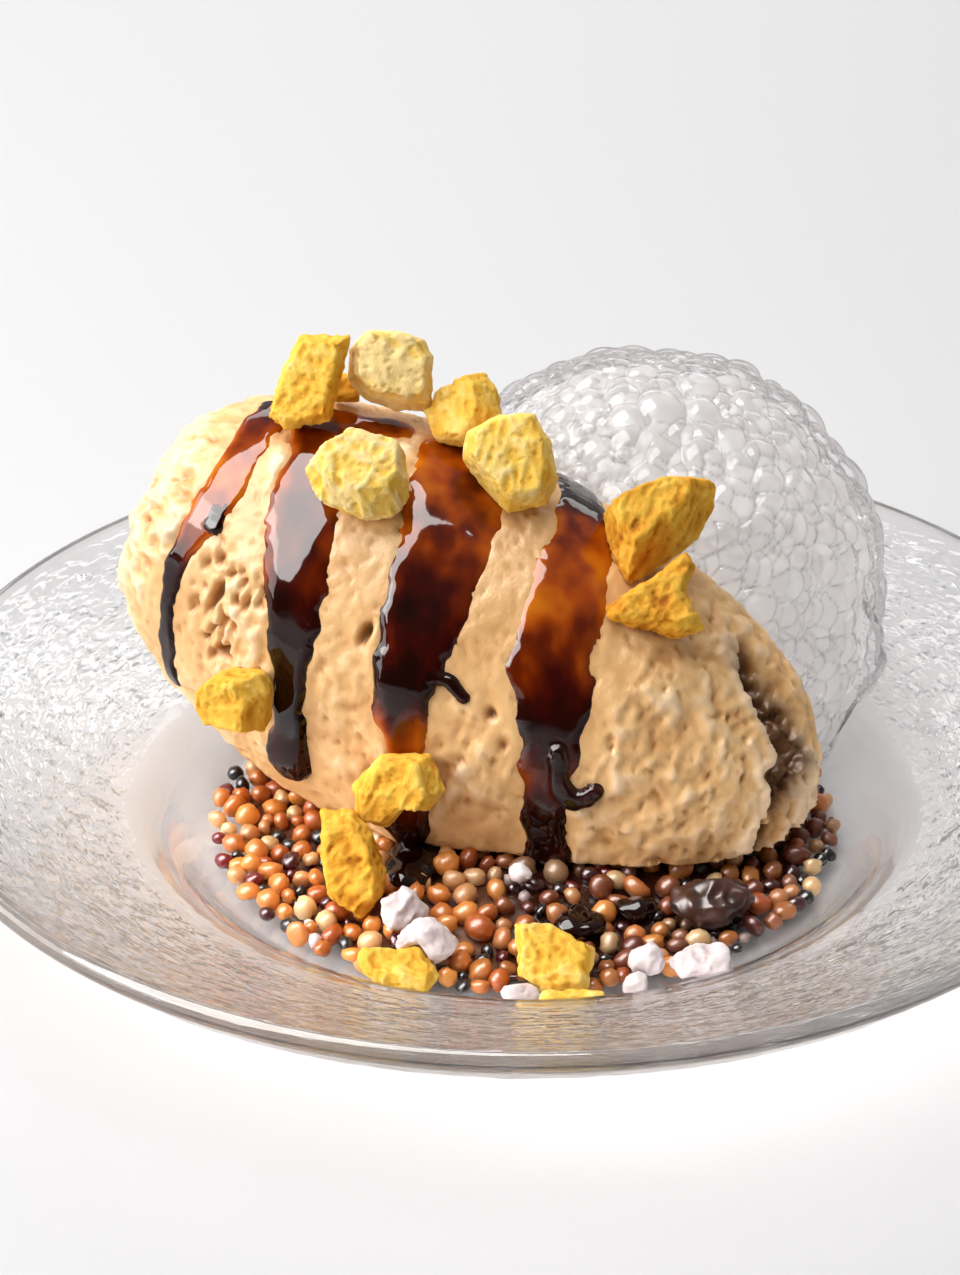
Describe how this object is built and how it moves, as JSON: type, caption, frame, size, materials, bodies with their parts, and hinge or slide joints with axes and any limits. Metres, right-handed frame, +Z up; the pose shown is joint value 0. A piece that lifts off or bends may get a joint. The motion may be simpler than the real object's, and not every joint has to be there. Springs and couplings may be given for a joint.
{
  "type": "plated mousse quenelle",
  "caption": "Spoon-shaped caramel mousse with syrup, dried fruit, puffed grains, crumbs and foam on a clear glass rimmed plate.",
  "frame": {"origin": "middle of the plate's flat base, on the surface it rests on", "axes": "+Z up; the dish's front, with the syrup's long runs, faces -Y; the quenelle's long axis runs mostly along X, its higher end towards -X"},
  "size_m": [0.17, 0.17, 0.073],
  "materials": {
    "plate_glass": "clear pressed glass with wavy ripples on the rim",
    "mousse": null,
    "grains": null,
    "foam": null,
    "sauce": null,
    "dried_fruit": null,
    "meringue": null
  },
  "bodies": {
    "root": {"plate": "plate_glass", "mousse": "mousse", "grain_bed": "grains", "foam": "foam", "sauce_lump": "sauce", "chunk_tall_slab": "dried_fruit", "chunk_pale_block": "dried_fruit", "chunk_sliver": "dried_fruit", "chunk_upper_front": "dried_fruit", "chunk_rear_ridge": "dried_fruit", "chunk_ridge_block": "dried_fruit", "chunk_ridge_wedge": "dried_fruit", "chunk_fallen_chip": "dried_fruit", "chunk_low_cube": "dried_fruit", "chunk_arched": "dried_fruit", "chunk_standing": "dried_fruit", "chunk_front_flat": "dried_fruit", "chunk_front_plate": "dried_fruit", "chunk_front_edge": "dried_fruit", "crumb_tall": "meringue", "crumb_bright": "meringue", "crumb_front_right": "meringue", "crumb_right": "meringue", "crumb_under_edge": "meringue", "crumb_front_pair": "meringue", "crumb_marked": "meringue"}
  },
  "joints": []
}
